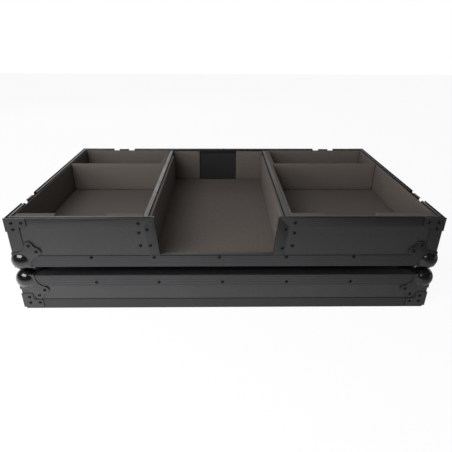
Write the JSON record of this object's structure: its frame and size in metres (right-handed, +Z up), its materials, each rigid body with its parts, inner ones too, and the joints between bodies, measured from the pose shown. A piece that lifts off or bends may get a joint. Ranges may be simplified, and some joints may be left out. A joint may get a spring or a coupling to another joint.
{
  "type": "dj coffin case",
  "caption": "Black flight case with two turntable bays and a notched mixer bay, standing on its own lid, with ball corners, butterfly latches and side handles.",
  "frame": {"origin": "on the floor, under the middle of the case", "axes": "+X to the right seen from the front, +Y to the rear, +Z up; the notch faces -Y"},
  "size_m": [1.2234, 0.7434, 0.2976],
  "materials": {
    "laminated_ply": "black laminate over birch ply",
    "black_aluminium": "black anodised",
    "black_enamel": "gloss black over steel",
    "black_coated_steel": "satin black",
    "grip_rubber": "matt",
    "lining_foam": "open cell foam, brownish black"
  },
  "bodies": {
    "lid": {"lid_top_panel": "laminated_ply", "lid_front_panel": "laminated_ply", "lid_rear_panel": "laminated_ply", "lid_left_panel": "laminated_ply", "lid_right_panel": "laminated_ply", "lid_edge_frame": "black_aluminium", "lid_rim_frame": "black_aluminium", "lid_foam": "lining_foam", "lid_ball_corner_front_left": "black_enamel", "lid_ball_corner_front_right": "black_enamel", "lid_ball_corner_rear_right": "black_enamel", "lid_ball_corner_rear_left": "black_enamel"},
    "tray": {"base_floor_panel": "laminated_ply", "base_front_panel": "laminated_ply", "base_rear_panel": "laminated_ply", "base_left_panel": "laminated_ply", "base_right_panel": "laminated_ply", "left_divider": "laminated_ply", "right_divider": "laminated_ply", "base_edge_frame": "black_aluminium", "rim_rail_front_left": "black_aluminium", "rim_rail_front_right": "black_aluminium", "rim_rail_rear_right": "black_aluminium", "rim_rail_rear_middle": "black_aluminium", "rim_rail_rear_left": "black_aluminium", "notch_cap_left": "black_aluminium", "notch_cap_right": "black_aluminium", "left_bay_foam": "lining_foam", "right_bay_foam": "lining_foam", "mixer_bay_foam": "lining_foam", "base_ball_corner_front_left": "black_enamel", "base_ball_corner_front_right": "black_enamel", "base_ball_corner_rear_right": "black_enamel", "base_ball_corner_rear_left": "black_enamel", "latch_dish_left": "black_coated_steel", "latch_dish_right": "black_coated_steel", "latch_dish_rear_left": "black_coated_steel", "latch_dish_rear_right": "black_coated_steel", "handle_dish_left": "black_coated_steel", "handle_dish_right": "black_coated_steel"},
    "latch_hook_left": {"latch_hook_left": "black_coated_steel"},
    "latch_rotor_left": {"latch_rotor_left": "black_coated_steel"},
    "latch_upper_leaf_left": {"latch_upper_leaf_left": "black_coated_steel"},
    "latch_lower_leaf_left": {"latch_lower_leaf_left": "black_coated_steel"},
    "latch_hook_right": {"latch_hook_right": "black_coated_steel"},
    "latch_rotor_right": {"latch_rotor_right": "black_coated_steel"},
    "latch_upper_leaf_right": {"latch_upper_leaf_right": "black_coated_steel"},
    "latch_lower_leaf_right": {"latch_lower_leaf_right": "black_coated_steel"},
    "latch_hook_rear_left": {"latch_hook_rear_left": "black_coated_steel"},
    "latch_rotor_rear_left": {"latch_rotor_rear_left": "black_coated_steel"},
    "latch_upper_leaf_rear_left": {"latch_upper_leaf_rear_left": "black_coated_steel"},
    "latch_lower_leaf_rear_left": {"latch_lower_leaf_rear_left": "black_coated_steel"},
    "latch_hook_rear_right": {"latch_hook_rear_right": "black_coated_steel"},
    "latch_rotor_rear_right": {"latch_rotor_rear_right": "black_coated_steel"},
    "latch_upper_leaf_rear_right": {"latch_upper_leaf_rear_right": "black_coated_steel"},
    "latch_lower_leaf_rear_right": {"latch_lower_leaf_rear_right": "black_coated_steel"},
    "handle_bail_left": {"handle_bail_left": "black_coated_steel", "handle_grip_left": "grip_rubber"},
    "handle_bail_right": {"handle_bail_right": "black_coated_steel", "handle_grip_right": "grip_rubber"}
  },
  "joints": [
    {"name": "tray_lift", "type": "slide", "parent": "lid", "child": "tray", "axis": [0, 0, 1], "range_m": [0, 0.15]},
    {"name": "latch_turn_left", "type": "hinge", "parent": "tray", "child": "latch_rotor_left", "pos_m": [-0.5985, -0.205, 0.2636], "axis": [-1, 0, 0], "range_deg": [0, 180]},
    {"name": "latch_hook_lift_left", "type": "slide", "parent": "tray", "child": "latch_hook_left", "axis": [0, 0, 1], "range_m": [0, 0.008]},
    {"name": "latch_upper_leaf_fold_left", "type": "hinge", "parent": "latch_rotor_left", "child": "latch_upper_leaf_left", "pos_m": [-0.5961, -0.205, 0.2636], "axis": [0, -1, 0], "range_deg": [0, 90]},
    {"name": "latch_lower_leaf_fold_left", "type": "hinge", "parent": "latch_rotor_left", "child": "latch_lower_leaf_left", "pos_m": [-0.5961, -0.205, 0.2636], "axis": [0, 1, 0], "range_deg": [0, 90]},
    {"name": "latch_turn_right", "type": "hinge", "parent": "tray", "child": "latch_rotor_right", "pos_m": [0.5985, -0.192, 0.2636], "axis": [1, 0, 0], "range_deg": [0, 180]},
    {"name": "latch_hook_lift_right", "type": "slide", "parent": "tray", "child": "latch_hook_right", "axis": [0, 0, 1], "range_m": [0, 0.008]},
    {"name": "latch_upper_leaf_fold_right", "type": "hinge", "parent": "latch_rotor_right", "child": "latch_upper_leaf_right", "pos_m": [0.5961, -0.192, 0.2636], "axis": [0, 1, 0], "range_deg": [0, 90]},
    {"name": "latch_lower_leaf_fold_right", "type": "hinge", "parent": "latch_rotor_right", "child": "latch_lower_leaf_right", "pos_m": [0.5961, -0.192, 0.2636], "axis": [0, -1, 0], "range_deg": [0, 90]},
    {"name": "latch_turn_rear_left", "type": "hinge", "parent": "tray", "child": "latch_rotor_rear_left", "pos_m": [-0.424, 0.3585, 0.2636], "axis": [0, 1, 0], "range_deg": [0, 180]},
    {"name": "latch_hook_lift_rear_left", "type": "slide", "parent": "tray", "child": "latch_hook_rear_left", "axis": [0, 0, 1], "range_m": [0, 0.008]},
    {"name": "latch_upper_leaf_fold_rear_left", "type": "hinge", "parent": "latch_rotor_rear_left", "child": "latch_upper_leaf_rear_left", "pos_m": [-0.424, 0.3561, 0.2636], "axis": [-1, 0, 0], "range_deg": [0, 90]},
    {"name": "latch_lower_leaf_fold_rear_left", "type": "hinge", "parent": "latch_rotor_rear_left", "child": "latch_lower_leaf_rear_left", "pos_m": [-0.424, 0.3561, 0.2636], "axis": [1, 0, 0], "range_deg": [0, 90]},
    {"name": "latch_turn_rear_right", "type": "hinge", "parent": "tray", "child": "latch_rotor_rear_right", "pos_m": [0.424, 0.3585, 0.2636], "axis": [0, 1, 0], "range_deg": [0, 180]},
    {"name": "latch_hook_lift_rear_right", "type": "slide", "parent": "tray", "child": "latch_hook_rear_right", "axis": [0, 0, 1], "range_m": [0, 0.008]},
    {"name": "latch_upper_leaf_fold_rear_right", "type": "hinge", "parent": "latch_rotor_rear_right", "child": "latch_upper_leaf_rear_right", "pos_m": [0.424, 0.3561, 0.2636], "axis": [-1, 0, 0], "range_deg": [0, 90]},
    {"name": "latch_lower_leaf_fold_rear_right", "type": "hinge", "parent": "latch_rotor_rear_right", "child": "latch_lower_leaf_rear_right", "pos_m": [0.424, 0.3561, 0.2636], "axis": [1, 0, 0], "range_deg": [0, 90]},
    {"name": "handle_swing_left", "type": "hinge", "parent": "tray", "child": "handle_bail_left", "pos_m": [-0.5905, 0.04, 0.2466], "axis": [0, 1, 0], "range_deg": [0, 90], "stiffness_Nm_per_rad": 0.3, "springref_deg": -20.05},
    {"name": "handle_swing_right", "type": "hinge", "parent": "tray", "child": "handle_bail_right", "pos_m": [0.5905, 0.04, 0.2466], "axis": [0, -1, 0], "range_deg": [0, 90], "stiffness_Nm_per_rad": 0.3, "springref_deg": -20.05}
  ],
  "couplings": [
    {"joint": "latch_hook_lift_left", "follows": "latch_turn_left", "m_per_rad": 0.002546},
    {"joint": "latch_hook_lift_right", "follows": "latch_turn_right", "m_per_rad": 0.002546},
    {"joint": "latch_hook_lift_rear_left", "follows": "latch_turn_rear_left", "m_per_rad": 0.002546},
    {"joint": "latch_hook_lift_rear_right", "follows": "latch_turn_rear_right", "m_per_rad": 0.002546}
  ]
}
